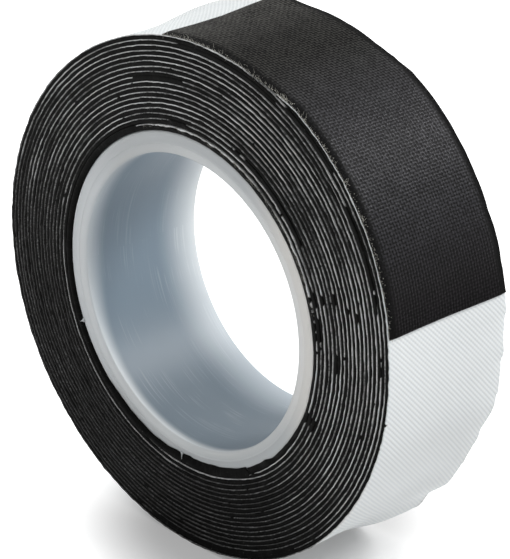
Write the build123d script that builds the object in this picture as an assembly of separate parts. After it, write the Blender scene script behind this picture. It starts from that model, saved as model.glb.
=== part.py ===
from build123d import *
import os
from math import acos, atan2, cos, degrees, dist, hypot, radians, sin

# Roll of self-fusing rubber grip tape, standing on its rim. The tape and its release
# liner are wound together on a moulded plastic core, and a cloth strip holds the end.
#
# Millimetres, +Z up. The bore runs along Y, and the origin is on its axis at mid width.
# Angles are in degrees in the XZ plane, from +X towards +Z.

# --- Core -------------------------------------------------------------------
BORE_DIAMETER = 50.8
CORE_WALL = 3.1
CORE_INSET = 0.1              # how far each end of the core lies inside the tape's edges
BORE_EDGE_ROUNDING = 1.5      # the two lips of the bore are well rounded
OUTER_EDGE_CHAMFER = 0.25

# --- Tape and liner, wound together -----------------------------------------
TAPE_WIDTH = 25.4
TAPE_THICKNESS = 0.42
LINER_THICKNESS = 0.24        # embossed film, over its ribs
LINER_OVERHANG = 0.1          # the liner stands proud of the tape on each side
WRAP_CLEARANCE = 0.085        # between each layer and the one under it
FULL_TURNS = 18               # whole turns, before the part turn that ends the tape
START_ANGLE = -60.0           # where the tape first lies on the core
END_ANGLE = 63.0              # where the tape and the liner are cut off
LEAST_GAP_ALLOWED = 0.4       # from one turn of a band to the next turn of the same band
GAP_TEST_STEP = 5             # degrees between the points that the gap is measured on

# --- Closing strip ----------------------------------------------------------
STRIP_THICKNESS = 0.3
STRIP_INSET = 0.2             # how far the strip stays inside the tape's edges
STRIP_CLEARANCE = 0.02        # its adhesive
STRIP_FOLD_RADIUS = 0.8       # inside radius where it bends over the tape's cut end
STRIP_FIRST_ANGLE = 10.0
STRIP_LAST_ANGLE = 96.0

# --- Foot -------------------------------------------------------------------
FOOT_FLAT_DEPTH = 0.5         # the rim is this much flatter where the roll stands

# --- Worked out from the above ----------------------------------------------
CORE_RADIUS = BORE_DIAMETER / 2 + CORE_WALL
CORE_WIDTH = TAPE_WIDTH - 2 * CORE_INSET
PITCH = TAPE_THICKNESS + LINER_THICKNESS + 2 * WRAP_CLEARANCE
TOTAL_ANGLE = 360.0 * FULL_TURNS + (END_ANGLE - START_ANGLE)
TAPE_FIRST_RADIUS = CORE_RADIUS + WRAP_CLEARANCE + TAPE_THICKNESS / 2
LINER_FIRST_RADIUS = (
    TAPE_FIRST_RADIUS + TAPE_THICKNESS / 2 + WRAP_CLEARANCE + LINER_THICKNESS / 2
)
LINER_WIDTH = TAPE_WIDTH + 2 * LINER_OVERHANG
STRIP_WIDTH = TAPE_WIDTH - 2 * STRIP_INSET
HALF_TURN = 180.0


def polar(radius, angle, centre=(0.0, 0.0)):
    """The point at this radius and angle round a centre, in the XZ plane."""
    return (
        centre[0] + radius * cos(radians(angle)),
        centre[1] + radius * sin(radians(angle)),
    )


def winding(first_radius):
    """The middle line of a wound band, as tangent arcs of half a turn each.

    Each arc is (centre, radius, from angle, to angle). The centres lie by turns a
    quarter of the pitch to each side of the axis, so the band gains PITCH a turn.
    """
    arcs = []
    last_angle = START_ANGLE + TOTAL_ANGLE
    begin = START_ANGLE
    while begin < last_angle:
        number = len(arcs)
        side = PITCH / 4 if number % 2 else -PITCH / 4
        radius = first_radius + PITCH / 4 + number * PITCH / 2
        end = min(begin + HALF_TURN, last_angle)
        arcs.append((polar(side, START_ANGLE), radius, begin, end))
        begin = end
    return arcs


def arc_edge(arc):
    """One arc of a middle line, standing in the XZ plane."""
    centre, radius, begin, end = arc
    return Plane.XZ * CenterArc(centre, radius, begin, end - begin)


def swept_band(edges, thickness, width):
    """A flat band of this thickness and width along a path of tangent edges."""
    path = Wire(edges)
    start = Plane(origin=path @ 0, x_dir=(0, 1, 0), z_dir=path % 0)
    return sweep(start * Rectangle(width, thickness), path=path)


def least_gap(arcs, thickness):
    """The least gap from one turn of a band to the next, measured on points of its line."""
    points = []
    for centre, radius, begin, end in arcs:
        for number in range(int((end - begin) / GAP_TEST_STEP)):
            points.append(polar(radius, begin + number * GAP_TEST_STEP, centre))
    per_turn = 360 // GAP_TEST_STEP
    apart = [
        min(dist(point, other) for other in points[place + per_turn - 1 : place + per_turn + 2])
        for place, point in enumerate(points[:-per_turn])
    ]
    return min(apart) - thickness


def stretch(arcs, begin, end, lift):
    """The part of a wound line between two wound-on angles, lifted by this much."""
    return [
        (centre, radius + lift, max(first, begin), min(last, end))
        for centre, radius, first, last in arcs
        if max(first, begin) < min(last, end)
    ]


# --- Core -------------------------------------------------------------------
def make_core():
    """A moulded ring with rounded lips to its bore and broken outer edges."""
    profile = Pos(BORE_DIAMETER / 2 + CORE_WALL / 2, 0) * Rectangle(CORE_WALL, CORE_WIDTH)
    lips = profile.vertices().sort_by(Axis.X)[:2]
    profile = fillet(lips, BORE_EDGE_ROUNDING)
    rims = profile.vertices().sort_by(Axis.X)[-2:]
    profile = chamfer(rims, OUTER_EDGE_CHAMFER)
    return revolve(profile, Axis.Y)


# --- Foot -------------------------------------------------------------------
def foot_level(liner_arcs):
    """The height of the flat that the roll stands on."""
    lowest = min(centre[1] - radius for centre, radius, _, _ in arcs_under_axis(liner_arcs))
    return lowest - LINER_THICKNESS / 2 + FOOT_FLAT_DEPTH


def arcs_under_axis(arcs):
    """The arcs that pass right below the axis."""
    return [
        (centre, radius, begin, end)
        for centre, radius, begin, end in arcs
        if (-90.0 - begin) % 360.0 <= end - begin
    ]


def below(level):
    """Everything under this level, to be cut away."""
    reach = 4 * (CORE_RADIUS + PITCH * FULL_TURNS)
    return Pos(0, 0, level - reach / 2) * Box(reach, reach, reach)


# --- Closing strip ----------------------------------------------------------
def make_strip(liner_arcs):
    """The strip: along the last turn, taut over the cut end, and on along the turn below."""
    seat = LINER_THICKNESS / 2 + STRIP_CLEARANCE + STRIP_THICKNESS / 2
    cut_end = START_ANGLE + TOTAL_ANGLE
    turn_below = cut_end - 360.0
    over = stretch(liner_arcs, cut_end - (END_ANGLE - STRIP_FIRST_ANGLE), cut_end, seat)
    over_centre, over_radius, _, _ = over[-1]
    fold = STRIP_FOLD_RADIUS + STRIP_THICKNESS / 2
    fold_centre = polar(over_radius - fold, END_ANGLE, over_centre)

    # The taut stretch is the tangent from the fold to the turn below.
    strip_last = turn_below + STRIP_LAST_ANGLE - END_ANGLE
    centre, radius, _, _ = stretch(liner_arcs, turn_below, strip_last, seat)[0]
    across = (fold_centre[0] - centre[0], fold_centre[1] - centre[1])
    lean = degrees(acos((radius - fold) / hypot(*across)))
    landing = degrees(atan2(across[1], across[0])) + lean
    under = stretch(liner_arcs, turn_below + landing - END_ANGLE, strip_last, seat)

    path = [arc_edge(arc) for arc in over]
    path.append(arc_edge((fold_centre, fold, END_ANGLE, landing)))
    path.append(Plane.XZ * Line(polar(fold, landing, fold_centre), polar(radius, landing, centre)))
    path += [arc_edge(arc) for arc in under]
    return swept_band(path, STRIP_THICKNESS, STRIP_WIDTH)


# --- Assembly ---------------------------------------------------------------
tape_arcs = winding(TAPE_FIRST_RADIUS)
liner_arcs = winding(LINER_FIRST_RADIUS)
floor = below(foot_level(liner_arcs))

parts = {
    "core": make_core(),
    "rubber_tape": swept_band(
        [arc_edge(arc) for arc in tape_arcs], TAPE_THICKNESS, TAPE_WIDTH
    ) - floor,
    "release_liner": swept_band(
        [arc_edge(arc) for arc in liner_arcs], LINER_THICKNESS, LINER_WIDTH
    ) - floor,
    "closing_strip": make_strip(liner_arcs),
}

os.makedirs("parts", exist_ok=True)
for name, shape in parts.items():
    export_step(shape, f"parts/{name}.step")

for name, arcs, thickness in (
    ("rubber_tape", tape_arcs, TAPE_THICKNESS),
    ("release_liner", liner_arcs, LINER_THICKNESS),
):
    gap = least_gap(arcs, thickness)
    length = sum(radius * radians(end - begin) for _, radius, begin, end in arcs)
    enough = "over" if gap > LEAST_GAP_ALLOWED else "NOT over"
    print(f"{name}: least gap to itself {gap:.3f} mm, {enough} {LEAST_GAP_ALLOWED} mm")
    print(f"{name}: {length / 1000:.3f} m long, tightest radius {arcs[0][1]:.2f} mm")
print(f"foot at Z = {foot_level(liner_arcs):.4f} mm, core radius {CORE_RADIUS} mm")
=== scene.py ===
from math import cos, pi, radians, sin

import bpy
import numpy as np
from bpy.props import FloatProperty, FloatVectorProperty, IntProperty, PointerProperty
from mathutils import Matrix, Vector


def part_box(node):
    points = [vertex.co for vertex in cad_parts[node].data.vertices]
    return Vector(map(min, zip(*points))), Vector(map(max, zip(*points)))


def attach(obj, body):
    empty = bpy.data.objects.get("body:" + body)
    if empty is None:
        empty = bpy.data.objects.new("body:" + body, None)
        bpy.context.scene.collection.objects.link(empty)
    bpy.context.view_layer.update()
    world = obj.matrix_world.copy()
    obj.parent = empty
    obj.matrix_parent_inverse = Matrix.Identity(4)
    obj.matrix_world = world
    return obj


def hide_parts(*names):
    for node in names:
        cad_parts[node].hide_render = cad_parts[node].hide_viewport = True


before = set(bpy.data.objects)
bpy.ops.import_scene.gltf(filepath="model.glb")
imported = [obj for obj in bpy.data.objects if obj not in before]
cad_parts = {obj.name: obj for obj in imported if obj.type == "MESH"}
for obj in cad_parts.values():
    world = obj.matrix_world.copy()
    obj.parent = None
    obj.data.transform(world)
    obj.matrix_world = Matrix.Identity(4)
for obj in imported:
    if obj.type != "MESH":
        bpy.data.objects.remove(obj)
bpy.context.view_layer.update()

bl_info = {
    "name": "Grip Tape Roll",
    "version": (1, 0, 0),
    "blender": (4, 5, 0),
    "location": "View3D > Sidebar > Tape Roll",
    "description": "A roll of rubber grip tape with its core, release liner and closing strip",
    "category": "Add Mesh",
}

# The roll stands on its rim, its bore along Y. Angles are in the XZ plane, from +X
# towards +Z. "Turned" is the angle wound on since the tape's first end, "along" a length
# on the tape, and "across" a place in its width, from the front side to the back.
MM = 0.001
TURN = 2 * pi

core_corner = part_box("core")[1]
tape_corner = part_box("rubber_tape")[1]
liner_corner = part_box("release_liner")[1]
strip_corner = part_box("closing_strip")[1]
foot_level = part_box("rubber_tape")[0].z


# --- Sizes and colours -----------------
def length(name, description, default):
    """A length that a user can change, in metres."""
    return FloatProperty(
        name=name, description=description, default=default,
        min=0.0, precision=5, unit="LENGTH", subtype="DISTANCE",
    )


def angle(name, description, default):
    """An angle round the roll, given here in degrees."""
    return FloatProperty(
        name=name, description=description, default=radians(default),
        unit="ROTATION", subtype="ANGLE",
    )


def colour(name, description, default):
    """A plain colour."""
    return FloatVectorProperty(
        name=name, description=description, default=default,
        size=3, min=0.0, max=1.0, subtype="COLOR",
    )


class RollSizes(bpy.types.PropertyGroup):
    """The roll's sizes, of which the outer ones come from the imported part."""

    core_radius: length("Core radius", "Outer radius of the core", core_corner.x)
    tape_width: length("Tape width", "Width of the rubber tape", 2 * tape_corner.y)
    liner_width: length("Liner width", "Width of the release liner", 2 * liner_corner.y)
    strip_width: length("Strip width", "Width of the closing strip", 2 * strip_corner.y)
    pitch: length("Pitch", "Growth of the radius in one turn", 0.83 * MM)
    liner_thickness: length("Liner thickness", "Thickness of the embossed film", 0.14 * MM)
    strip_thickness: length("Strip thickness", "Thickness of the closing cloth", 0.30 * MM)
    full_turns: IntProperty(
        name="Full turns", description="Whole turns before the last part turn", default=18, min=3
    )
    start_angle: angle("Start", "Where the tape first lies on the core", -60)
    end_angle: angle("End", "Where the tape and the liner are cut off", 63)
    strip_first_angle: angle("Strip start", "Lower end of the closing strip", 10.7)
    strip_last_angle: angle("Strip end", "Upper end of the closing strip", 96)
    mesh_step: length("Mesh step", "Length of one mesh face along the tape", 0.4 * MM)
    emboss_spacing: length("Emboss spacing", "From rib to rib of the liner", 0.61 * MM)
    thread_spacing: length("Thread spacing", "From thread to thread along the strip", 0.51 * MM)
    thread_spacing_across: length(
        "Thread spacing across", "From thread to thread across the strip", 0.60 * MM
    )


class RollColours(bpy.types.PropertyGroup):
    """The roll's colours."""

    # Painted light and shade on the core's ends: lit copies of the plastic towards +X and towards -X,
    # most at the lips there, and a shaded copy at the top and bottom.
    core: colour("Core", "Milky plastic at its brightest, towards +X", (0.965, 0.95, 0.905))
    core_far_lit: colour("Core far side", "The same plastic on the side away from it", (0.90, 0.95, 0.985))
    core_rim_shaded: colour("Core rim", "The same plastic at the top and bottom", (0.64, 0.67, 0.685))
    # Painted light: the lips of the bore glow with light that comes through them.
    core_lip_glow: colour("Core lip", "The same plastic at the lips of its bore", (0.93, 0.96, 0.97))
    # Painted light on the bore: paler towards its back end, where light comes in, and painted shade on
    # the copy near its foot.
    core_back_lit: colour("Core back", "The bore towards its back end", (0.93, 0.97, 0.985))
    core_back_shaded_low: colour("Core back low", "The same near its foot", (0.50, 0.55, 0.59))
    # The bore's wall is greyer where black tape shows through; its copy near the foot is painted shade.
    core_wall: colour("Core wall", "The bore, in front of black tape", (0.25, 0.32, 0.385))
    core_wall_shaded_low: colour("Core wall low", "The same near its foot", (0.130, 0.167, 0.200))
    tape: colour("Tape", "Black rubber", (0.0024, 0.0024, 0.0023))
    # Painted sheen: the lighter rubber of the upper side, which is also the base of the dust specks and
    # the cut marks.
    dust_and_sheen_tape: colour("Dusty tape", "The same rubber on the dusty upper side", (0.0072, 0.0072, 0.0069))
    liner: colour("Liner", "White release film", (0.915, 0.945, 0.95))
    # Painted shade in the film's grooves, darker on the roll's top.
    liner_groove_shade: colour("Liner groove", "The film between its ribs", (0.80, 0.84, 0.86))
    top_groove_shade: colour("Dusty groove", "The same on the roll's top", (0.52, 0.565, 0.575))
    liner_edge: colour("Liner edge", "The film's cut edge, a little duller", (0.84, 0.85, 0.85))
    # The residue colour also paints shade on the film's edges.
    residue_and_shade: colour("Residue", "Rubber left on the film's edge", (0.008, 0.008, 0.0075))
    # Painted light on the strip's threads: this colour is painted lighter as a highlight band, with
    # painted shade below and above it, and dust with a painted sheen at the upper end.
    thread: colour("Thread", "Raised threads of the closing strip", (0.044, 0.0435, 0.0485))
    shaded_upper_thread: colour("Dull thread", "The same threads above the rubbed ones", (0.0295, 0.029, 0.026))
    dust_and_sheen_thread: colour("Dusty thread", "The same threads at its upper end", (0.072, 0.070, 0.064))
    shaded_lower_thread: colour("Clean thread", "The same threads where no dust is", (0.0055, 0.004, 0.0055))
    thread_gap: colour("Thread gap", "Between the threads of the strip", (0.003, 0.003, 0.003))
    tuft: colour("Tuft", "Loose pale fibres at the strip's edge", (0.46, 0.45, 0.40))
    floor: colour("Floor", "The plain floor", (0.66, 0.66, 0.66))


# --- The shape of the winding ----------
START_STEP_HALF_WIDTH = 0.04  # of a turn, for climbing over the tape's first end
START_STEP_FADE = 1.2  # turns in which that step dies away
END_PRESS = 0.45 * MM  # the strip presses the cut end down by this much
END_PRESS_ANGLE = radians(6)
# How far the rim is from round, in metres at its outside, as (cosine, sine) of 1, 2 and 3
# waves a turn. Towards the core it shrinks to nothing.
OUT_OF_ROUND = ((-0.18 * MM, 0.45 * MM), (0.15 * MM, 0.54 * MM), (-0.24 * MM, 0.14 * MM))
DENT = (radians(6), radians(11), 0.25 * MM)  # of the rim: middle, half width and depth
# The last turn is loose and flares at the back: degrees before its end, and metres.
FLARE_BEFORE_END = (0, 36, 53, 92, 108, 125, 170, 250, 273, 293, 304, 316, 330, 342, 352, 360)
FLARE = tuple(MM * flare for flare in (
    0, 0, 1.0, 1.1, 1.6, 1.9, 1.3, 0.3, 0.6, 0.95, 1.35, 0.95, 0.75, 0.4, 0.1, 0))
FLARE_ROOT = -4.0 * MM  # across, where the flare begins
FLARE_WAVE = 6 * MM  # length of its waves along the edge
SCALLOP = 7.5 * MM  # from tear to tear along the loose back edge
SCALLOP_DEPTH = 0.5 * MM


def smooth(x):
    """0 below 0, 1 above 1 and smooth between."""
    x = np.clip(x, 0, 1)
    return x * x * (3 - 2 * x)


def wander(places, spacing, seed):
    """Smooth chance values from -1 to 1 at places from 0 up, changing once a spacing."""
    steps = places / spacing
    values = np.random.default_rng(seed).uniform(-1, 1, int(np.max(steps)) + 3)
    low = np.floor(steps).astype(int)
    share = smooth(steps - low)
    return values[low] * (1 - share) + values[low + 1] * share


def wanders(places, waves, seed=0):
    """The sum of several waves of wander(), from a table of size, spacing in mm and seed."""
    return sum(size * wander(places, spacing * MM, first + seed) for size, spacing, first in waves)


def apart(angles, middle, turn=360):
    """How far angles lie from a middle one, the short way round."""
    return (angles - middle + turn / 2) % turn - turn / 2


class Winding:
    """Where the wound layers lie, worked out from the sizes."""

    def __init__(self, sizes):
        self.sizes = sizes
        self.last = TURN * sizes.full_turns + sizes.end_angle - sizes.start_angle
        self.rim_radius = sizes.core_radius + sizes.pitch * self.last / TURN

    def tape_floor(self, turned):
        """Radius of the tape's inner face, before the roll is out of round."""
        turns = turned / TURN
        ahead = turns + START_STEP_HALF_WIDTH
        step = smooth((ahead % 1) / (2 * START_STEP_HALF_WIDTH))
        stepped = np.maximum(np.floor(ahead) - 1 + step, 0)
        turns = turns + np.exp(-turns / START_STEP_FADE) * (stepped - turns)
        return self.sizes.core_radius + self.sizes.pitch * turns

    def liner_top(self, turned):
        """Radius of the liner's outer face, which the strip presses down at the cut end."""
        near_end = smooth(1 - (self.last - turned) / END_PRESS_ANGLE)
        return self.tape_floor(turned) + self.sizes.pitch - END_PRESS * near_end

    def flare(self, turned, across):
        """How far the loose last turn stands off at the back."""
        before_end = np.degrees(self.last - turned)
        edge = self.sizes.tape_width / 2
        share = smooth((across - FLARE_ROOT) / (edge - FLARE_ROOT))
        wave = 1 + 0.4 * wander(turned * self.rim_radius, FLARE_WAVE, 5)
        return share * wave * np.interp(before_end, FLARE_BEFORE_END, FLARE)

    def scallops(self, along):
        """How far the loose back edge is torn in: shallow bites with sharp ends."""
        place = along / SCALLOP + 0.3 * wander(along, 2 * SCALLOP, 83)
        depth = 0.6 + 0.4 * wander(along, SCALLOP, 84)
        return SCALLOP_DEPTH * depth * (place % 1) ** 2

    def points(self, turned, radius, across):
        """Points in space, on the real roll, which is not quite round and stands on a floor."""
        angle = self.sizes.start_angle + turned
        core_radius = self.sizes.core_radius
        share = np.clip((radius - core_radius) / (self.rim_radius - core_radius), 0, 1)
        for waves, (cosine, sine) in enumerate(OUT_OF_ROUND, start=1):
            wave = cosine * np.cos(waves * angle) + sine * np.sin(waves * angle)
            radius = radius + share * wave
        middle, half_width, depth = DENT
        away = apart(angle, middle, TURN) / half_width
        radius = radius - share * depth * np.exp(-(away ** 2))
        x = radius * np.cos(angle)
        z = np.maximum(radius * np.sin(angle), foot_level)
        return np.stack(np.broadcast_arrays(x, across, z), axis=-1)

    def stations(self, first, last):
        """Wound-on angles at even lengths along the tape, and those lengths."""
        fine = np.linspace(0, last, int(last / radians(1)))
        radius = self.tape_floor(fine)
        along = np.concatenate([[0], np.cumsum(np.diff(fine) * (radius[1:] + radius[:-1]) / 2)])
        begin, end = np.interp([first, last], fine, along)
        count = int((end - begin) / self.sizes.mesh_step) + 1
        places = np.linspace(begin, end, count)
        return np.interp(places, along, fine), places


# --- Meshes ----------------------------
def across_columns(half_width, insets):
    """Places across a band: these insets from each edge, and the middle."""
    edge = half_width - np.array(insets)
    return np.concatenate([-edge, [0.0], edge[::-1]])


def tube_faces(rings, corners):
    """Faces round a tube, of this many rings with this many points each."""
    corner = np.arange(corners)
    first = np.arange(rings - 1)[:, None] * corners
    a = first + corner
    b = first + (corner + 1) % corners
    return np.stack([a, b, b + corners, a + corners], axis=-1).reshape(-1, 4)


def band_rings(outer, inner):
    """Rings of a band: across its outer face and back along its inner one, at each station."""
    return np.concatenate([outer, inner[:, ::-1]], axis=1)


def band_faces(rings):
    """Faces of a band: its sides and both ends."""
    stations, ring = rings.shape[:2]
    strip = np.arange(ring // 2 - 1)
    cap = np.stack([strip, ring - 1 - strip, ring - 2 - strip, strip + 1], axis=-1)
    last_cap = cap[:, ::-1] + (stations - 1) * ring
    return np.concatenate([tube_faces(stations, ring), cap, last_cap])


def add_block(points, faces, new_points, new_faces):
    """Adds points, and faces that are numbered from the first of these points."""
    faces.extend((np.array(new_faces) + len(points)).tolist())
    points.extend(new_points)


def mesh_object(name, points, faces, material, flat=False):
    """An object in the scene, smooth shaded unless it is flat."""
    if isinstance(faces, np.ndarray):
        faces = faces.tolist()
    mesh = bpy.data.meshes.new(name)
    mesh.from_pydata(np.asarray(points).reshape(-1, 3).tolist(), [], faces)
    mesh.validate()
    if not flat:
        mesh.shade_smooth()
    mesh.materials.append(material)
    piece = bpy.data.objects.new(name, mesh)
    bpy.context.scene.collection.objects.link(piece)
    return piece


# --- Material graphs -------------------
class Field:
    """A node's output, which can be added, multiplied and so on as a number can."""

    def __init__(self, graph, output):
        self.graph = graph
        self.output = output

    def __add__(self, other):
        return self.graph.math("ADD", self, other)

    def __mul__(self, other):
        return self.graph.math("MULTIPLY", self, other)

    def __sub__(self, other):
        return self.graph.math("SUBTRACT", self, other)

    def __rsub__(self, other):
        return self.graph.math("SUBTRACT", other, self)

    def __abs__(self):
        return self.graph.math("ABSOLUTE", self)

    def ramp(self, low, high, to_low=0.0, to_high=1.0):
        """Smoothly maps low..high onto to_low..to_high."""
        node = self.graph.node("MapRange", self, low, high, to_low, to_high)
        node.interpolation_type = "SMOOTHSTEP"
        return Field(self.graph, node.outputs[0])


class Graph:
    """Adds nodes to a material or a world and joins them. Noise scales are in waves a metre."""

    def __init__(self, owner, shader="Principled BSDF"):
        owner.use_nodes = True
        self.owner = owner
        self.tree = owner.node_tree
        self.shader = self.tree.nodes[shader]

    def feed(self, socket, value):
        """Joins an output to a socket, or sets the socket's own value. Colours are opaque."""
        if isinstance(value, Field):
            value = value.output
        if isinstance(value, bpy.types.NodeSocket):
            self.tree.links.new(value, socket)
        elif socket.type == "RGBA":
            socket.default_value = (*value, 1.0)
        else:
            socket.default_value = value

    def set(self, **values):
        """Sets sockets of the shader, such as Base_Color=(r, g, b)."""
        for name, value in values.items():
            self.feed(self.shader.inputs[name.replace("_", " ")], value)

    def node(self, kind, *values, **named):
        """Adds a node, with values for its first inputs and for its named ones."""
        node = self.tree.nodes.new("ShaderNode" + kind)
        for socket, value in zip(node.inputs, values):
            self.feed(socket, value)
        for name, value in named.items():
            self.feed(node.inputs[name], value)
        return node

    def math(self, operation, *values):
        """A formula's next step, by Blender's name for it."""
        node = self.node("Math", *values)
        node.operation = operation
        return Field(self, node.outputs[0])

    def mix(self, share, first, second):
        """A colour between two colours."""
        node = self.node("Mix")
        node.data_type = "RGBA"
        for place, value in ((0, share), (6, first), (7, second)):
            self.feed(node.inputs[place], value)
        return Field(self, node.outputs[2])

    def noise(self, scale, detail=2.0):
        """Chance values near 0.5 in space."""
        where = self.node("TexCoord").outputs["Object"]
        node = self.node("TexNoise", Vector=where, Scale=scale, Detail=detail)
        return Field(self, node.outputs[0])

    def stretched_noise(self, along, across, along_scale, across_scale):
        """Chance values near 0.5 that run on in one direction."""
        where = self.node("CombineXYZ", along * along_scale, across * across_scale).outputs[0]
        return Field(self, self.node("TexNoise", Vector=where, Scale=1.0).outputs[0])

    def coordinates(self):
        """X, Y and Z on the piece, in metres."""
        where = self.node("TexCoord").outputs["Object"]
        return [Field(self, part) for part in self.node("SeparateXYZ", where).outputs]

    def angle(self):
        """Angle round the roll's axis."""
        x, _, z = self.coordinates()
        return self.math("ARCTAN2", z, x)

    def from_axis(self):
        """Distance from the roll's axis, in metres."""
        x, _, z = self.coordinates()
        return self.math("SQRT", x * x + z * z)

    def places(self, radius):
        """Where a point of the rim lies along and across the band, in metres."""
        return self.angle() * radius, self.coordinates()[1]

    def cut_marks(self):
        """Fine marks across all the turns, from slitting the roll to its width."""
        radius = self.from_axis()
        return self.stretched_noise(self.angle() + radius * CUT_LEAN, radius, *CUT_SCALES)

    def waves(self, per_along, per_across, along, across):
        """A sine wave with this many waves a metre each way, from -1 to 1."""
        return self.math("SINE", along * (TURN * per_along) + across * (TURN * per_across))

    def attribute(self, name):
        """A value that the mesh holds at its points."""
        node = self.node("Attribute")
        node.attribute_name = name
        return Field(self, node.outputs["Fac"])

    def seen(self):
        """1 where the camera looks, straight, by a mirror or through glass, and 0 elsewhere."""
        path = self.node("LightPath").outputs
        seen = self.math("MAXIMUM", path["Is Camera Ray"], path["Is Glossy Ray"])
        return self.math("MAXIMUM", seen, path["Is Transmission Ray"])

    def bump(self, height, distance, strength):
        """Makes a height field, in shares of distance, tilt the shader's normal."""
        node = self.node("Bump", Height=height, Distance=distance, Strength=strength)
        self.set(Normal=node.outputs[0])


# --- Materials -------------------------
LIGHT_LEAN = 0.3  # up, for the core's painted shade and the rubber's painted sheen, leans this much along X
CUT_LEAN = 6.0  # radians a metre, by which the slitting marks lean
CUT_SCALES = (85, 420)  # their waves: a radian, and a metre of radius
WHITE = (1.0, 1.0, 1.0)

CORE_WALL_RADIUS = 24.95 * MM  # of the bore, a little under its nominal size
LIP_WIDTH = 1.5 * MM  # of the sloping lips of the bore, across the core's ends
LIP_DEPTH = 0.45 * MM  # and along the bore
LIP_GLOW_RADII = (25.9 * MM, 27.1 * MM)  # the lips carry painted light that comes through them, brightest within the first
LIP_GLOW = 0.55
LIP_GLOW_X = 0.82  # and on the sides that face this way
LIP_GLOW_Z = 0.57
CORE_DARK_DEPTH = 4.1 * MM  # the bore is dark from this far behind its front lip, and painted pale before it, for light that comes in at the end
CORE_PALE_DEPTH = 10.0 * MM  # up to this far before its back end, which is painted pale for light that comes in from behind
SCRATCH_SCALES = (60, 3000)  # of the scratches along the bore, along and across
SCUFF_SCALES = (90, 170)  # of the patches that they lie in
SCRATCH_WHITENING = 0.13
CORE_ROUGHNESS = (0.44, 0.57)  # where smooth and where scratched

RUBBER_ROUGHNESS = (0.42, 0.62)
DUST_BRIGHTNESS = 12  # for the dust specks, times the upper side's rubber colour
CUT_BRIGHTNESS = 1.6

CROSS_RIBS = 0.35  # height of the second set of ribs, by the first
FILM_ROUGHNESS = (0.42, 0.58)
FILM_TOP_SHADE = (0.75, 0.95)  # where the grooves' painted shade deepens towards the top: where that begins and is full, by the rim's radius

# Angles between which the strip changes, from its lower end up: from painted shade to a painted
# highlight, into the area that is rubbed smooth and out of it into painted shade, and to dust and a
# painted sheen.
LOWER_SHADE_FADE = (radians(15), radians(33))
RUBBED_FROM = (radians(10), radians(24))
RUBBED_TO_AND_SHADE_FROM = (radians(50), radians(74))
DUST_AND_SHEEN_FROM = (radians(78), radians(92))
RUBBED_SMOOTH = 0.39  # less rough by this much where rubbed
STRIP_ROUGHNESS = (0.86, 0.58)  # between the threads and on them
THREAD_WOBBLE = 0.25 * MM
WEFT = 0.62  # heights of the threads each way, and of their crossings
WARP = 0.50
CROSSINGS = 0.44
PATCHES = 1.1  # unevenness of the cloth, coarse and fine
SPECKS = 3.6
PRESSED_EDGE = (0.6 * MM, 1.8 * MM)  # the weave is pressed flat within the first


def milky(share, depth):
    """What a shader needs to scatter light inside."""
    return dict(Subsurface_Weight=share, Subsurface_Radius=WHITE, Subsurface_Scale=depth)


def core_plastic(colours, core_width):
    """Milky natural plastic: painted pale at the ends, lips and back where light comes through, with
    painted shade towards the foot, and greyer where black tape shows through.
    """
    graph = Graph(bpy.data.materials.new("core_plastic"))
    bore = CORE_WALL_RADIUS
    half = core_width / 2
    along, across = graph.places(bore)
    x, _, z = graph.coordinates()
    # Painted shade: raised runs from 0 at the foot to 1 towards the top, leaning along X, and the
    # colours mixed by it are darker towards the foot.
    raised = (z - x * LIGHT_LEAN).ramp(-0.95 * bore, 0.35 * bore)
    # Painted light: the wall is pale near both ends, deeper in at the back and higher up; between them
    # it is greyer for the black tape behind it.
    from_front = ((across + half) * (1.9 - raised)).ramp(-0.8 * MM, CORE_DARK_DEPTH)
    from_back = (half - across).ramp(-1.2 * MM, CORE_PALE_DEPTH)
    lip = graph.from_axis().ramp(bore, bore + 1.2 * LIP_WIDTH, 1.0, 0.0)
    scratches = graph.stretched_noise(along, across, *SCRATCH_SCALES)
    worn = graph.stretched_noise(along, across, *SCUFF_SCALES).ramp(0.46, 0.64)
    scratched = scratches.ramp(0.50, 0.70) * worn
    inside = from_front * from_back * lip - scratched * SCRATCH_WHITENING

    # Painted light and shade: near and far are the shares of the lit copies towards +X and -X; the rest
    # of each end is the shaded copy.
    near = (x + z * 0.2).ramp(0.70 * bore, 1.12 * bore) + lip * 0.25
    far = x.ramp(-bore, -0.55 * bore, 1.0, 0.0) * (lip * 0.5 + 0.5)
    ends = graph.mix(near, colours.core_rim_shaded, colours.core)
    ends = graph.mix(far, ends, colours.core_far_lit)
    # Painted glow of light through the lips, on the sides that face along LIP_GLOW_X and LIP_GLOW_Z.
    glow = graph.from_axis().ramp(*LIP_GLOW_RADII, LIP_GLOW, 0.0)
    facing = abs(x * LIP_GLOW_X + z * LIP_GLOW_Z).ramp(0.25 * bore, 0.85 * bore)
    ends = graph.mix(glow * facing, ends, colours.core_lip_glow)
    # Painted light: the back of the core is paler, with painted shade near the foot.
    back = graph.mix(raised, colours.core_back_shaded_low, colours.core_back_lit)
    ends = graph.mix(across.ramp(0.0, 0.2 * half), ends, back)
    wall = graph.mix(raised, colours.core_wall_shaded_low, colours.core_wall)
    graph.set(
        Base_Color=graph.mix(inside, ends, wall),
        Roughness=scratched.ramp(0.0, 1.0, *CORE_ROUGHNESS),
        Specular_IOR_Level=0.3,
        **milky(0.35, 2.0 * MM),
    )
    graph.bump(scratches * worn, 0.02 * MM, 0.6)
    return graph.owner


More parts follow.
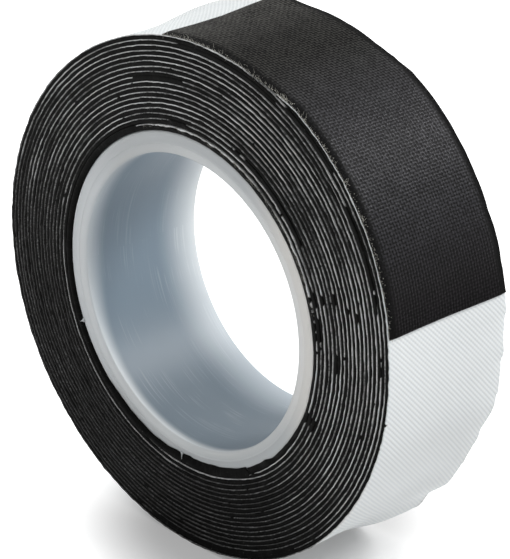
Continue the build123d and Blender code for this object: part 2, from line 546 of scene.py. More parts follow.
def tape_rubber(colours):
    """Black rubber, a little uneven in gloss, with cut marks across the edges of its turns."""
    graph = Graph(bpy.data.materials.new("tape_rubber"))
    cuts = graph.cut_marks()
    x, _, z = graph.coordinates()
    # Painted sheen: the rubber is painted lighter towards the top and towards +X.
    sheen_lit = (z + x * LIGHT_LEAN).ramp(-tape_corner.z, tape_corner.z)
    rubber = graph.mix(sheen_lit, colours.tape, colours.dust_and_sheen_tape)
    marked = graph.mix(cuts.ramp(0.5, 0.75), rubber, colours.dust_and_sheen_tape * CUT_BRIGHTNESS)
    dust = graph.noise(2600).ramp(0.69, 0.76)
    graph.set(
        Base_Color=graph.mix(dust, marked, colours.dust_and_sheen_tape * DUST_BRIGHTNESS),
        Roughness=graph.noise(700, 3.0).ramp(0.35, 0.65, *RUBBER_ROUGHNESS),
        Specular_IOR_Level=0.026,
    )
    graph.bump(graph.noise(1800, 3.0) + cuts * 0.8, 0.06 * MM, 0.7)
    return graph.owner


def liner_film(colours, sizes, rim_radius):
    """White film embossed with crossing diagonal ribs, with painted shade in their grooves, and rubber
    left on its edges under painted shade.
    """
    graph = Graph(bpy.data.materials.new("liner_film"))
    along, across = graph.places(rim_radius)
    per_turn = round(TURN * rim_radius / (sizes.emboss_spacing * 2 ** 0.5))
    per_metre = per_turn / (TURN * rim_radius)
    ribs = graph.waves(per_metre, per_metre, along, across)
    height = ribs + graph.waves(-per_metre, per_metre, along, across) * CROSS_RIBS
    uneven = graph.noise(160, 3.0)
    # Painted shade: the grooves between the ribs are painted darker, and darker still towards the top.
    groove = (height + uneven.ramp(0.3, 0.7, -0.25, 0.25)).ramp(-1.2, 1.0, 1.0, 0.0)
    top = graph.coordinates()[2].ramp(*(share * rim_radius for share in FILM_TOP_SHADE))
    grooved = graph.mix(top, colours.liner_groove_shade, colours.top_groove_shade)
    film = graph.mix(groove, colours.liner, grooved)

    marks = (graph.cut_marks() - 0.5) * 0.7 + (graph.noise(3600, 1.0) - 0.5) * 0.5
    # The residue attribute holds rubber left on the edges and painted shade, darker at the left and
    # bottom.
    residue_and_shade = graph.attribute("residue_and_shade")
    film = graph.mix(residue_and_shade.ramp(0.0, 0.2), film, colours.liner_edge)
    streaked = (residue_and_shade + marks * residue_and_shade.ramp(0.0, 0.3)).ramp(0.0, 1.0)
    graph.set(
        Base_Color=graph.mix(streaked, film, colours.residue_and_shade),
        Roughness=uneven.ramp(0.3, 0.7, *FILM_ROUGHNESS),
        Specular_IOR_Level=0.3,
        **milky(0.1, 0.5 * MM),
    )
    graph.bump(height, 0.03 * MM, 0.5)
    return graph.owner


def strip_cloth(colours, sizes, rim_radius):
    """Black plain-woven cloth, pressed smooth along its edges, with a painted highlight band between
    painted shade, and dust with a painted sheen at its upper end.
    """
    graph = Graph(bpy.data.materials.new("strip_cloth"))
    along, across = graph.places(rim_radius)
    wobble = (graph.noise(420) - 0.5) * THREAD_WOBBLE
    place = (along + wobble, across + wobble * 0.6)
    per_along = 1 / sizes.thread_spacing
    per_across = 1 / sizes.thread_spacing_across
    weft = graph.waves(per_along, 0.0, *place)
    warp = graph.waves(0.0, per_across, *place)
    over = graph.waves(per_along / 2, 0.0, *place) * graph.waves(0.0, per_across / 2, *place)
    weave = weft * WEFT + warp * WARP + over * CROSSINGS
    inset = sizes.strip_width / 2 - abs(across)
    height = weave * inset.ramp(*PRESSED_EDGE)
    specks = (graph.noise(3000) - 0.5) * SPECKS
    raised = height + (graph.noise(330, 3.0) - 0.5) * PATCHES + specks
    raised = raised + inset.ramp(0.5 * MM, 2 * MM, -0.9, 0.0)

    up = graph.angle()
    rubbed = up.ramp(*RUBBED_FROM) * up.ramp(*RUBBED_TO_AND_SHADE_FROM, 1.0, 0.0)
    rubbed = rubbed * inset.ramp(0.3 * MM, 1.6 * MM)
    # Painted shade at the lower end and above the highlight band, and dust with a painted sheen at the
    # upper end.
    thread = graph.mix(up.ramp(*LOWER_SHADE_FADE), colours.shaded_lower_thread, colours.thread)
    thread = graph.mix(up.ramp(*RUBBED_TO_AND_SHADE_FROM), thread, colours.shaded_upper_thread)
    thread = graph.mix(up.ramp(*DUST_AND_SHEEN_FROM), thread, colours.dust_and_sheen_thread)
    graph.set(
        Base_Color=graph.mix(raised.ramp(-0.9, 1.3), colours.thread_gap, thread),
        Roughness=raised.ramp(-1.0, 1.0, *STRIP_ROUGHNESS) - rubbed * RUBBED_SMOOTH,
        Specular_IOR_Level=0.07,
    )
    graph.bump(height - weft * 0.34 + specks * 0.5, 0.036 * MM, 0.9)
    return graph.owner


def pale_fibre(colours):
    """Off-white lint and film crumbs."""
    graph = Graph(bpy.data.materials.new("pale_fibre"))
    cloud = graph.noise(3000)
    graph.set(Base_Color=graph.mix(cloud, colours.tuft * 0.6, colours.tuft), Roughness=0.7)
    return graph.owner


def floor_paint(colours):
    """A plain pale floor that keeps its shadow near the roll and is plain white further off."""
    graph = Graph(bpy.data.materials.new("floor_paint"))
    graph.set(Base_Color=colours.floor, Roughness=0.9, Specular_IOR_Level=0.0)
    x, y, _ = graph.coordinates()
    x = x - FLOOR_SHADE_X
    y = y - FLOOR_SHADE_Y
    away = graph.math("SQRT", x * x + y * y)
    lift = away.ramp(FLOOR_SHADE_RADIUS, FLOOR_WHITE_RADIUS, FLOOR_LIFT, 1.0)
    glow = graph.node("Emission", Strength=graph.seen() * lift)
    both = graph.node("AddShader", graph.shader.outputs[0], glow.outputs[0])
    graph.feed(graph.tree.nodes["Material Output"].inputs["Surface"], both.outputs[0])
    return graph.owner


# --- Pieces ----------------------------
# Rubber covers the liner's edge where chance runs above a level: nicks, and then longer
# smears, each as spacing, level, width of the change, and how far it covers.
SMEARS = ((1.0 * MM, 0.90, 0.1, 0.7), (2.6 * MM, 0.93, 0.06, 1.0))
SMEAR_SEEDS = {-1: 11, 1: 12}  # front and back edges
# Where a lot of rubber covers the liner's edge on the front side: angle and half width in
# degrees, and the radii between which the turns are covered, in millimetres.
BLOTS = (
    (12, 7.5, 29.3, 30.3), (19, 1.6, 29.0, 35.0), (-21, 2.4, 28.5, 31.5), (1, 3.0, 33.1, 33.9),
    (3, 5.5, 42.4, 43.2), (14, 2.2, 38.4, 39.2), (17, 1.4, 36.9, 37.7), (100, 9.0, 36.8, 37.5),
    (92, 6.0, 30.2, 31.0), (68, 3.0, 30.6, 31.4), (46, 14.0, 30.9, 31.7), (113, 7.0, 28.9, 29.7),
    (76, 13.0, 42.6, 43.3), (52, 9.0, 43.3, 43.9), (-75, 25.0, 43.0, 44.0), (28, 9.0, 42.6, 43.4),
)
WHOLE_BLOT = 8  # blots with a half width over this have no gaps
# The rubber of the first turn creeps over the core's end: degrees turned, and metres.
CREEP_TURNED = (0, 10, 14, 30, 40, 150, 240, 285, 290, 320, 325, 342, 350, 360)
CREEP = tuple(MM * creep for creep in (
    0.55, 0.75, 0.3, 0.25, 0.05, 0.0, 0.1, 0.15, 0.55, 0.6, 0.9, 0.95, 0.75, 0.55))
# The liner's edge is under rubber or frayed, both at the front, or clean between these
# degrees turned.
BURIED_LINER = (170, 312)
FRAYED_LINER = (72, 168)
CLEAN_LINER = ((-20, 32), (312, 392), (590, 690))
# How dark the liner's edge is, by angle round the roll in degrees: rubber residue, with painted
# shade that darkens the left and bottom and leaves the right and top lighter.
SOIL_AND_SHADE_ANGLES = (-180, -120, -60, -30, -12, 18, 32, 60, 90, 120, 140, 165)
SOIL_AND_SHADE = (0.91, 1.00, 0.88, 0.50, 0.30, 0.33, 0.54, 0.54, 0.38, 0.38, 0.56, 0.76)
SOIL_AND_SHADE_DEPTH = 1.4  # residue and painted shade right on an edge that is all dark
BRIGHT_ANGLE = 30  # degrees, round which the last turn's edge carries less of both

# Waves of the bands' edges, each as its size and its spacing in millimetres and its seed.
TAPE_EDGE = ((0.04, 1.6, 21), (0.06, 17, 31))
LINER_CRIMP = ((0.05, 0.6, 41), (0.05, 3, 51))
LINER_EDGE = ((0.07, 0.9, 61), (0.04, 6, 71))
SOIL_PATCHES = ((0.12, 0.8, 91), (0.32, 7, 93))
CREEP_EDGE = ((0.12, 0.9, 25), (0.15, 3, 26))

CORE_STATIONS = 540
LIP_STEPS = 12
CORE_CHAMFER = 0.25 * MM
BORE_DROP = 0.19 * MM  # the bore lies this much low in its core
MOULD_RIDGE = 0.05 * MM  # the mould's parting line stands up by this much
MOULD_UNEVEN = 0.03 * MM  # unevenness of the core's ends

TAPE_INSETS = (0.0, 0.03 * MM, 0.11 * MM, 0.4 * MM)  # from its edges, of its mesh's columns
TAPE_DROPS = (0.2 * MM, 0.06 * MM, 0.0, 0.0)  # how far its faces curve in there
UNDER_FILM = 0.02 * MM  # from the rubber to the film on it
SMEAR_RISE = 0.12 * MM  # smeared rubber stands over the film's edge by this much
SMEAR_PULL = 0.1 * MM  # and the film's edge lies in by this much there
LAYER_GAP = 0.01 * MM  # from the film's full height down to it, and up to the strip
LINER_TRIM = 0.07 * MM  # the film's edges lie this far inside its full width
EDGE_REACH = 0.8 * MM  # how far in a band's edge is uneven
SURFACE_TURNS = 1.1  # turns of the liner that are meshed finely
HIDDEN_INSETS = (0.0, 0.06 * MM)
SURFACE_INSETS = tuple(MM * inset for inset in (0.0, 0.06, 0.2, 0.5, 1.1, 2.2, 4.0, 7.0))
FRAY_THICKNESS = 0.16 * MM  # the frayed edge is this much thicker
RIPPLE = 0.03 * MM  # of the last turn's face

STRIP_INSETS = tuple(MM * inset for inset in (0.0, 0.05, 0.15, 0.4, 0.8, 1.2, 1.7, 2.4, 4.0, 7.0))
STRIP_STEP = 0.3 * MM
STRIP_SPREAD = 0.12 * MM  # the pressed cloth is this much wider on each side
STRIP_PRESS = 0.16 * MM  # and this much thinner at its edges


def between(values, low, high, edge):
    """1 from low to high and 0 outside, blended over an edge."""
    return smooth((values - low) / edge) * smooth((high - values) / edge)


def rubber_smears(winding, turned, along, side):
    """How far the rubber has crept over the liner's edge, 0 to 1, on one side of the roll."""
    seed = SMEAR_SEEDS[side]
    covered = 0.0
    for number, (spacing, level, change, share) in enumerate(SMEARS):
        chance = wander(along, spacing, seed + 10 * number)
        covered = np.maximum(covered, share * smooth((chance - level) / change))
    if side > 0:
        return covered * smooth((winding.last - TURN - turned) / radians(5))
    radius = winding.liner_top(turned) / MM
    degrees = np.degrees(winding.sizes.start_angle + turned)
    for middle, half_width, low, high in BLOTS:
        reach = half_width * (1 + 0.4 * wander(along, 2.5 * MM, seed + 20))
        near = smooth((reach - np.abs(apart(degrees, middle))) / 0.9)
        blot = between(radius, low - 0.1, high + 0.1, 0.1) * near
        gaps = smooth(1.2 + 2.2 * wander(along, 0.8 * MM, seed + 21))
        broken = 1 if half_width > WHOLE_BLOT else gaps
        covered = np.maximum(covered, 0.95 * blot * broken)
    return np.maximum(covered, between(np.degrees(turned), *BURIED_LINER, 4))


def core_profile():
    """Half of the core's section, from the middle of the bore round to the tape's seat."""
    end = core_corner.y
    outer = core_corner.x
    ridge = CORE_WALL_RADIUS + LIP_WIDTH
    profile = [(CORE_WALL_RADIUS, end * share) for share in (0.0, 0.3, 0.6, 0.8)]
    for step in range(LIP_STEPS + 1):
        turn = pi / 2 * step / LIP_STEPS
        profile.append((
            CORE_WALL_RADIUS + LIP_WIDTH * (1 - cos(turn)),
            end - LIP_DEPTH * (1 - sin(turn)),
        ))
    return profile + [
        (ridge + 0.05 * MM, end + MOULD_RIDGE), (ridge + 0.13 * MM, end + MOULD_RIDGE),
        (ridge + 0.2 * MM, end), (outer - 0.6 * MM, end),
        (outer - CORE_CHAMFER, end), (outer, end - CORE_CHAMFER), (outer, 0.5 * end),
    ]


def make_core(colours):
    """The moulded core, with the fine ridge that its mould leaves round each lip."""
    half = core_profile()
    profile = np.array([(radius, -y) for radius, y in half[::-1]] + half[1:])
    level, y = profile.T
    turned = np.linspace(0, TURN, CORE_STATIONS, endpoint=False)
    uneven = MOULD_UNEVEN * wander(turned * CORE_WALL_RADIUS, 7 * MM, 301)[:, None]
    on_end = (np.abs(y) > core_corner.y - 0.1 * MM) & (level < core_corner.x - 0.4 * MM)
    radius = level + uneven * on_end
    drop = BORE_DROP * np.interp(level, (CORE_WALL_RADIUS, core_corner.x), (1, 0))
    points = np.stack([
        radius * np.cos(turned)[:, None],
        np.broadcast_to(y, radius.shape),
        radius * np.sin(turned)[:, None] - drop,
    ], axis=-1)
    ring = len(profile)
    # The faces of a tube, turned over and joined from the last station to the first.
    faces = tube_faces(CORE_STATIONS + 1, ring)[:, [0, 3, 2, 1]] % (CORE_STATIONS * ring)
    return mesh_object("core_ring", points, faces, core_plastic(colours, 2 * core_corner.y))


def make_tape(sizes, colours):
    """The black rubber, one unbroken band with soft, uneven edges."""
    winding = Winding(sizes)
    turned, along = winding.stations(0.0, winding.last)
    columns = across_columns(sizes.tape_width / 2, TAPE_INSETS)
    drops = np.array([*TAPE_DROPS, 0.0, *TAPE_DROPS[::-1]])
    across = np.tile(columns, (len(turned), 1))
    first_turn = turned < TURN
    floor = np.where(first_turn, sizes.core_radius, winding.tape_floor(turned))[:, None]
    outer = winding.liner_top(turned)[:, None] - sizes.liner_thickness - UNDER_FILM - drops
    inner = floor + drops * ~first_turn[:, None]
    inner_across = across.copy()

    for side, edge in ((-1, slice(0, 3)), (1, slice(6, 9))):
        smear = rubber_smears(winding, turned, along, side)[:, None]
        outward = (wanders(along, TAPE_EDGE, side) * MM)[:, None] * side
        across[:, edge] += outward + side * SMEAR_RISE * smear
        inner_across[:, edge] += outward
        outer[:, edge] += smear * (sizes.liner_thickness + SMEAR_RISE)
    creep = np.where(first_turn, np.interp(np.degrees(turned), CREEP_TURNED, CREEP), 0)
    inner[:, :2] -= (creep * (1 + wanders(along, CREEP_EDGE)))[:, None]

    lift = winding.flare(turned[:, None], across)
    lift[:, len(columns) // 2] = 0  # keeps the wide middle faces under the finer liner
    rings = band_rings(
        winding.points(turned[:, None], outer + lift, across),
        winding.points(turned[:, None], inner + lift, inner_across),
    )
    return mesh_object("tape_band", rings, band_faces(rings), tape_rubber(colours))


def liner_section(winding, first, last, insets):
    """Rings of points and the residue and painted shade on them, for one stretch of the liner."""
    sizes = winding.sizes
    turned, along = winding.stations(first, last)
    turned_degrees = np.degrees(turned)
    degrees = np.degrees(sizes.start_angle + turned)
    columns = across_columns(sizes.liner_width / 2 - LINER_TRIM, insets)
    across = np.tile(columns, (len(turned), 1))
    near_edge = np.exp(-(sizes.liner_width / 2 - np.abs(columns)) / EDGE_REACH)
    top = winding.liner_top(turned)[:, None] - LAYER_GAP
    residue_and_shade = np.zeros(across.shape)
    # Painted shade by angle round the roll, with the rubber residue.
    soil_and_shade = np.interp(degrees, SOIL_AND_SHADE_ANGLES, SOIL_AND_SHADE, period=360)
    lighter_last_edge = smooth(1.2 - np.abs(apart(degrees, BRIGHT_ANGLE)) / 100)
    last_turn = smooth((turned - winding.last + TURN) / radians(20))
    loose = np.interp(np.degrees(winding.last - turned), FLARE_BEFORE_END, FLARE) / max(FLARE)
    for side in (-1, 1):
        mine = side * columns > 0
        crimp = wanders(along, LINER_CRIMP, side)
        ragged = wanders(along, LINER_EDGE, side)
        if side > 0:
            torn = loose * last_turn * winding.scallops(along) / MM
            crimp = crimp + 0.15 * loose * wander(along, 3.2 * MM, 81) - 0.7 * torn
            ragged = ragged + 0.12 * loose * wander(along, 2.4 * MM, 82) - torn
        smear = rubber_smears(winding, turned, along, side)
        top = top + np.where(mine, near_edge * (crimp * MM)[:, None], 0)
        out = (ragged * MM - SMEAR_PULL * smear)[:, None]
        across += np.where(mine, side * near_edge * out, 0)
        patches = wanders(along, SOIL_PATCHES, side) * (0.35 + 0.65 * (soil_and_shade < 0.75))
        dirt_and_shade = np.clip(soil_and_shade + patches, 0, 1)
        for low, high in CLEAN_LINER:
            dirt_and_shade = dirt_and_shade * (1 - 0.5 * between(turned_degrees, low, high, 10))
        dirt_and_shade = np.maximum(dirt_and_shade * (1 - 0.95 * last_turn * lighter_last_edge), smear)
        residue_and_shade += np.where(mine, SOIL_AND_SHADE_DEPTH * near_edge ** 3 * dirt_and_shade[:, None], 0)
    thickness = np.full(across.shape, sizes.liner_thickness)
    frayed = between(turned_degrees, *FRAYED_LINER, 8) * (0.6 + 0.4 * wander(along, 0.5 * MM, 97))
    thickness[:, :2] += (frayed * FRAY_THICKNESS)[:, None]
    lift = winding.flare(turned[:, None], across)
    ripple = RIPPLE * wander(along, 9 * MM, 95)[:, None] * last_turn[:, None]
    outer = winding.points(turned[:, None], top + lift + ripple, across)
    inner = winding.points(turned[:, None], top - thickness + lift, across)
    return band_rings(outer, inner), band_rings(residue_and_shade[..., None], residue_and_shade[..., None])


def make_liner(sizes, colours):
    """The white film on the outside of every turn, finer meshed where it is the surface."""
    winding = Winding(sizes)
    surface_begins = winding.last - TURN * SURFACE_TURNS
    points, faces, residue_and_shade = [], [], []
    for first, last, insets in (
        (0.0, surface_begins, HIDDEN_INSETS), (surface_begins, winding.last, SURFACE_INSETS)
    ):
        rings, soiled_and_shaded = liner_section(winding, first, last, insets)
        add_block(points, faces, rings.reshape(-1, 3), band_faces(rings))
        residue_and_shade.append(soiled_and_shaded.reshape(-1))
    material = liner_film(colours, sizes, winding.rim_radius)
    piece = mesh_object("liner_band", points, faces, material)
    attribute = piece.data.attributes.new("residue_and_shade", "FLOAT", "POINT")
    attribute.data.foreach_set("value", np.concatenate(residue_and_shade).astype(np.float32))
    return piece


def strip_line(winding, angles):
    """Radius of the surface under the strip, and the wound-on angle whose lie it shares."""
    sizes = winding.sizes
    over = winding.last - (sizes.end_angle - angles)
    under = over - TURN
    last_radius = winding.liner_top(winding.last)
    below_radius = winding.liner_top(winding.last - TURN)
    landing = sizes.end_angle + np.arccos(below_radius / last_radius)
    taut = below_radius / np.cos(np.clip(landing - angles, 0, pi / 3))
    on_top = angles <= sizes.end_angle
    radius = np.where(on_top, winding.liner_top(over), np.maximum(winding.liner_top(under), taut))
    return radius, np.where(on_top, over, under)


def make_strip(sizes, colours):
    """The black cloth over the cut end, taut from there to the turn below."""
    winding = Winding(sizes)
    first, last = sizes.strip_first_angle, sizes.strip_last_angle
    count = int((last - first) * winding.rim_radius / STRIP_STEP)
    angles = np.linspace(first, last, count)
    along = angles * winding.rim_radius
    half_width = sizes.strip_width / 2 + STRIP_SPREAD
    columns = across_columns(half_width, STRIP_INSETS)
    across = np.tile(columns, (count, 1))
    inset = half_width - np.abs(columns)
    seat, turned = strip_line(winding, angles)
    pressed = STRIP_PRESS * (1 - smooth(inset / (1.7 * MM)))
    puff = 0.04 * wander(along, 6 * MM, 101)[:, None] * smooth(inset / (4 * MM))
    for side in (-1, 1):
        ragged = wanders(along, ((0.06, 1.3, 111 + side), (0.08, 8, 121)))
        near_edge = np.where(side * columns > 0, np.exp(-inset / EDGE_REACH), 0)
        across += side * near_edge * (ragged * MM)[:, None]
    lift = winding.flare(turned[:, None], across)
    base = seat[:, None] + lift + LAYER_GAP
    top = base + sizes.strip_thickness - pressed + puff * MM
    placed = angles[:, None] - sizes.start_angle
    rings = band_rings(winding.points(placed, top, across), winding.points(placed, base, across))
    material = strip_cloth(colours, sizes, winding.rim_radius)
    return mesh_object("strip_band", rings, band_faces(rings), material)


# --- Wear ------------------------------
LINT_SPACING = 0.17 * MM  # between crumbs along the strip's front edge
LINT_REACH = 0.9 * MM  # how far in from the edge they lie
LINT_OVERHANG = 0.12 * MM  # and how far out
LINT_SINK = 0.12 * MM  # and how far under the cloth's full thickness
# Where more of them lie: angle, half width in degrees, and how many.
LINT_CLUSTERS = (
    (61.0, 1.6, 60), (88.5, 1.5, 12), (55.0, 0.8, 12), (48.5, 0.8, 14), (41.5, 0.8, 14),
    (34.0, 0.8, 14), (27.0, 0.8, 10),
)
CRUMB_RADII = (0.05 * MM, 0.13 * MM)
FIBRE_RADIUS = 0.05 * MM
FIBRE_LENGTHS = (0.06, 0.19)  # millimetres, of one of its three stretches
OCTAHEDRON = np.array([(1, 0, 0), (-1, 0, 0), (0, 1, 0), (0, -1, 0), (0, 0, 1), (0, 0, -1)])
OCTAHEDRON_FACES = ((0, 2, 4), (2, 1, 4), (1, 3, 4), (3, 0, 4),
                    (2, 0, 5), (1, 2, 5), (3, 1, 5), (0, 3, 5))
FRAY_ANGLES = (radians(14), radians(108))
FRAY_RADII = (28.85 * MM, 29.45 * MM)
FRAY_COUNT = 420
SHRED_RADIUS = 0.026 * MM
SHRED_LENGTHS = (0.05, 0.16)  # as FIBRE_LENGTHS
# Flakes of plastic that stand over the rubber at the core's front end: angle in degrees,
# where each starts and ends from the axis, and half its width at its root.
BURRS = ((-156.2, 28.1 * MM, 29.15 * MM, 0.45 * MM), (-93.0, 27.4 * MM, 28.65 * MM, 0.4 * MM))
BURR_WIDTHS = ((0.0, 1.0), (0.35, 0.42), (0.7, 0.22), (1.0, 0.05))  # by share of its length
BURR_SECTION = ((-1, 0.0), (0, -0.08 * MM), (1, 0.0), (0, 0.08 * MM))
THREAD_RADIUS = 0.07 * MM
THREAD_LIFT = 0.9 * MM  # over the film
# Its points: radians past the strip's end, rise, and distance past the strip's back edge.
THREAD_ANGLES = np.array([0.012, 0.004, 0.0, 0.002, 0.008])
THREAD_RISES = np.array([0.0, 0.1, 0.25, 0.35, 0.5]) * MM
THREAD_REACHES = np.array([-0.4, -0.1, 0.1, 0.25, 0.35]) * MM


def directions(angle):
    """Outwards from the roll's axis, and along its rim."""
    return np.array([cos(angle), 0, sin(angle)]), np.array([-sin(angle), 0, cos(angle)])


def fibre_mesh(path, radius):
    """Points and faces of one thin, tapered, three-sided fibre along a path."""
    rings = []
    for place, point in enumerate(path):
        taper = 1 - 0.7 * place / (len(path) - 1)
        for corner in range(3):
            turn = TURN * corner / 3
            rings.append(point + radius * taper * np.array([cos(turn), sin(turn), 0.3 * cos(2 * turn)]))
    return rings, tube_faces(len(path), 3)


def curled_fibre(start, heading, curl, radius):
    """A short fibre that bends away from its heading."""
    return fibre_mesh([start + heading * step + curl * step * step for step in range(4)], radius)


def make_fray(sizes, colours):
    """Shreds of film that the first turn's liner has lost its front edge to."""
    chance = np.random.default_rng(202)
    angles = chance.uniform(*FRAY_ANGLES, FRAY_COUNT)
    radii = chance.uniform(*FRAY_RADII, FRAY_COUNT)
    points, faces = [], []
    for angle, radius in zip(angles, radii):
        outwards, sideways = directions(angle)
        start = outwards * radius - np.array([0, sizes.tape_width / 2 + 0.02 * MM, 0])
        heading = (sideways + outwards * chance.normal(0, 0.25)) * chance.uniform(*SHRED_LENGTHS) * MM
        curl = outwards * chance.normal(0, 0.02) * MM
        add_block(points, faces, *curled_fibre(start, heading, curl, SHRED_RADIUS))
    return mesh_object("film_shreds", points, faces, pale_fibre(colours))


def make_lint(sizes, colours):
    """Pale crumbs of torn film and loose fibres along the strip's front edge."""
    winding = Winding(sizes)
    chance = np.random.default_rng(201)
    span = sizes.strip_last_angle - sizes.strip_first_angle
    count = int(span * winding.rim_radius / LINT_SPACING)
    places = np.arange(count) + chance.uniform(0, 1, count)
    angles = sizes.strip_first_angle + span * places / count
    insets = LINT_REACH * chance.uniform(0, 1, count) ** 4 - LINT_OVERHANG
    for middle, half_width, number in LINT_CLUSTERS:
        spread = radians(half_width) * chance.normal(0, 0.6, number)
        angles = np.append(angles, radians(middle) + spread)
        insets = np.append(insets, chance.uniform(-0.2, 0.6, number) * MM)
    seat, _ = strip_line(winding, angles)
    top = seat + sizes.strip_thickness - LINT_SINK
    across = insets - (sizes.strip_width / 2 + STRIP_SPREAD)
    starts = winding.points(angles - sizes.start_angle, top, across)
    points, faces = [], []
    for place, start in enumerate(starts):
        axes, _ = np.linalg.qr(chance.normal(size=(3, 3)))
        radii = chance.uniform(*CRUMB_RADII, 3)
        if place % 2:
            add_block(points, faces, start + (OCTAHEDRON * radii) @ axes, OCTAHEDRON_FACES)
        else:
            heading = axes[0] * chance.uniform(*FIBRE_LENGTHS) * MM
            heading[1] = abs(heading[1])
            curl = axes[1] * 0.06 * MM
            add_block(points, faces, *curled_fibre(start, heading, curl, FIBRE_RADIUS))
    return mesh_object("edge_lint", points, faces, pale_fibre(colours), flat=True)


def make_burrs(colours):
    """Two torn flakes of the moulding's flash."""
    points, faces = [], []
    flake_faces = np.concatenate([tube_faces(4, 4), [(3, 2, 1, 0), (12, 13, 14, 15)]])
    for middle, root, tip, half_width in BURRS:
        outwards, sideways = directions(radians(middle))
        flake = []
        for share, width in BURR_WIDTHS:
            lean = sideways * 0.25 * half_width * share
            forward = core_corner.y + 0.10 * MM + 0.12 * MM * share
            centre = outwards * (root + (tip - root) * share) + lean - np.array([0, forward, 0])
            for side, lift in BURR_SECTION:
                flake.append(centre + sideways * half_width * width * side + np.array([0, lift, 0]))
        add_block(points, faces, flake, flake_faces)
    return mesh_object("core_burrs", points, faces, core_plastic(colours, 2 * core_corner.y))


def make_loose_thread(sizes, colours):
    """A dark thread that has come loose at the strip's lower back corner."""
    winding = Winding(sizes)
    angle = sizes.strip_first_angle
    radius = winding.liner_top(winding.last - (sizes.end_angle - angle)) + THREAD_LIFT
    path = winding.points(
        angle - sizes.start_angle + THREAD_ANGLES,
        radius + THREAD_RISES,
        sizes.strip_width / 2 + THREAD_REACHES,
    )
    points, faces = fibre_mesh(path, THREAD_RADIUS)
    material = strip_cloth(colours, sizes, winding.rim_radius)
    return mesh_object("loose_thread", points, faces, material)


# --- Stage -----------------------------
# The floor that the camera sees is lifted towards white: a little near the roll's foot,
# and all the way from the second radius on.
FLOOR_LIFT = 0.17
FLOOR_SHADE_X = 4 * MM  # the middle of both radii
FLOOR_SHADE_Y = 2 * MM
FLOOR_SHADE_RADIUS = 18 * MM
FLOOR_WHITE_RADIUS = 40 * MM
FLOOR_HALF_SIZE = 3.0
SKY_STRENGTH = 0.36
# Sun lamps: name, strength, soft angle and direction that the light comes from.
SUNS = (
    ("key_light", 2.3, 27.0, (0.43, 0.60, 0.68)),
    ("left_light", 0.9, 90.0, (-0.55, -0.05, 0.83)),
)
CAMERA_PLACE = (226.2 * MM, -217.2 * MM, 137.7 * MM)
CAMERA_HEADING = 45.80  # degrees, to the left of +Y
CAMERA_TILT = 23.65  # degrees, down
CAMERA_LENS = 134.9  # millimetres, on a 36 mm sensor
CAMERA_CLIP = 10 * MM


def make_stage(colours):
    """A plain pale floor, soft studio light and the camera."""
    scene = bpy.context.scene
    size = FLOOR_HALF_SIZE
    square = ((-size, -size), (size, -size), (size, size), (-size, size))
    corners = [(x, y, foot_level) for x, y in square]
    floor = mesh_object("floor", corners, [(0, 1, 2, 3)], floor_paint(colours))

    sky = Graph(bpy.data.worlds.new("studio"), "Background")
    sky.set(Color=WHITE, Strength=sky.seen().ramp(0.0, 1.0, SKY_STRENGTH, 1.0))
    scene.world = sky.owner

    for name, strength, soft_angle, (x, y, z) in SUNS:
        lamp = bpy.data.lights.new(name, "SUN")
        lamp.energy = strength
        lamp.angle = radians(soft_angle)
        light = bpy.data.objects.new(name, lamp)
        light.rotation_euler = (np.arctan2(np.hypot(x, y), z), 0, np.arctan2(y, x) + pi / 2)
        scene.collection.objects.link(light)

    camera_data = bpy.data.cameras.new("camera")
    camera_data.lens = CAMERA_LENS
    camera_data.clip_start = CAMERA_CLIP
    camera = bpy.data.objects.new("camera", camera_data)
    camera.location = CAMERA_PLACE
    camera.rotation_euler = (radians(90 - CAMERA_TILT), 0, radians(CAMERA_HEADING))
    scene.collection.objects.link(camera)
    scene.camera = camera
    scene.view_settings.view_transform = "Standard"


# --- Add-on ----------------------------
class ROLL_OT_core(bpy.types.Operator):
    """Make the moulded core in milky plastic"""

    bl_idname = "tape_roll.core"
    bl_label = "Core"

    def execute(self, context):
        piece = make_core(context.scene.roll_colours)
        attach(piece, "root")
        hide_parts("core")
        return {"FINISHED"}


class ROLL_OT_tape(bpy.types.Operator):
    """Wind the black rubber tape"""

    bl_idname = "tape_roll.tape"
    bl_label = "Rubber Tape"

    def execute(self, context):
        piece = make_tape(context.scene.roll_sizes, context.scene.roll_colours)
        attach(piece, "root")
        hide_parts("rubber_tape")
        return {"FINISHED"}


class ROLL_OT_liner(bpy.types.Operator):
    """Wind the white release liner"""

    bl_idname = "tape_roll.liner"
    bl_label = "Release Liner"

    def execute(self, context):
        piece = make_liner(context.scene.roll_sizes, context.scene.roll_colours)
        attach(piece, "root")
        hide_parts("release_liner")
        return {"FINISHED"}


class ROLL_OT_strip(bpy.types.Operator):
    """Lay the black closing strip over the cut end"""

    bl_idname = "tape_roll.strip"
    bl_label = "Closing Strip"

    def execute(self, context):
        piece = make_strip(context.scene.roll_sizes, context.scene.roll_colours)
        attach(piece, "root")
        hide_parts("closing_strip")
        return {"FINISHED"}


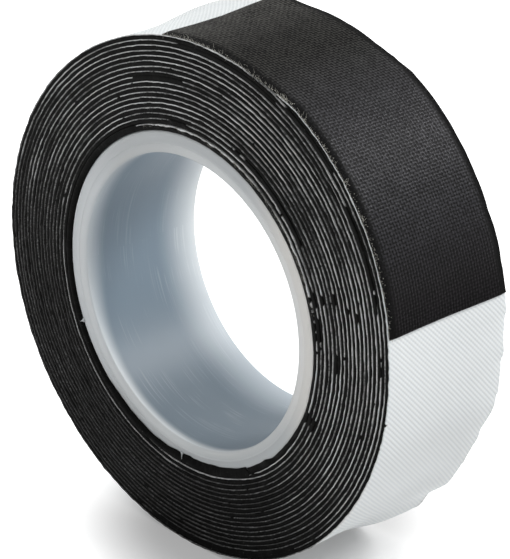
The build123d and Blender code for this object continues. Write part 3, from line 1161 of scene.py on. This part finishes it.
class ROLL_OT_wear(bpy.types.Operator):
    """Add the core's torn flash, the lint on the strip's edge and its loose thread"""

    bl_idname = "tape_roll.wear"
    bl_label = "Wear and Lint"

    def execute(self, context):
        scene = context.scene
        pieces = (
            (make_burrs(scene.roll_colours), "core_plastic"),
            (make_lint(scene.roll_sizes, scene.roll_colours), "liner_film"),
            (make_fray(scene.roll_sizes, scene.roll_colours), "liner_film"),
            (make_loose_thread(scene.roll_sizes, scene.roll_colours), "strip_cloth"),
        )
        for piece, slot in pieces:
            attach(piece, "root")
        return {"FINISHED"}


class ROLL_OT_stage(bpy.types.Operator):
    """Set up the floor, the light and the camera"""

    bl_idname = "tape_roll.stage"
    bl_label = "Stage"

    def execute(self, context):
        make_stage(context.scene.roll_colours)
        return {"FINISHED"}


OPERATORS = (
    ROLL_OT_core, ROLL_OT_tape, ROLL_OT_liner, ROLL_OT_strip, ROLL_OT_wear, ROLL_OT_stage,
)


class ROLL_PT_panel(bpy.types.Panel):
    """Sizes, colours and the steps that build the roll"""

    bl_idname = "ROLL_PT_panel"
    bl_label = "Tape Roll"
    bl_space_type = "VIEW_3D"
    bl_region_type = "UI"
    bl_category = "Tape Roll"

    def draw(self, context):
        for group in (context.scene.roll_sizes, context.scene.roll_colours):
            box = self.layout.box()
            for name in group.__annotations__:
                box.prop(group, name)
        for operator in OPERATORS:
            self.layout.operator(operator.bl_idname)


CLASSES = (RollSizes, RollColours, *OPERATORS, ROLL_PT_panel)


def register():
    for each in CLASSES:
        bpy.utils.register_class(each)
    bpy.types.Scene.roll_sizes = PointerProperty(type=RollSizes)
    bpy.types.Scene.roll_colours = PointerProperty(type=RollColours)


def unregister():
    del bpy.types.Scene.roll_colours
    del bpy.types.Scene.roll_sizes
    for each in reversed(CLASSES):
        bpy.utils.unregister_class(each)


def main():
    """Builds the roll and its stage."""
    register()
    bpy.ops.tape_roll.core()
    bpy.ops.tape_roll.tape()
    bpy.ops.tape_roll.liner()
    bpy.ops.tape_roll.strip()
    bpy.ops.tape_roll.wear()
    bpy.ops.tape_roll.stage()


if __name__ == "__main__":
    main()
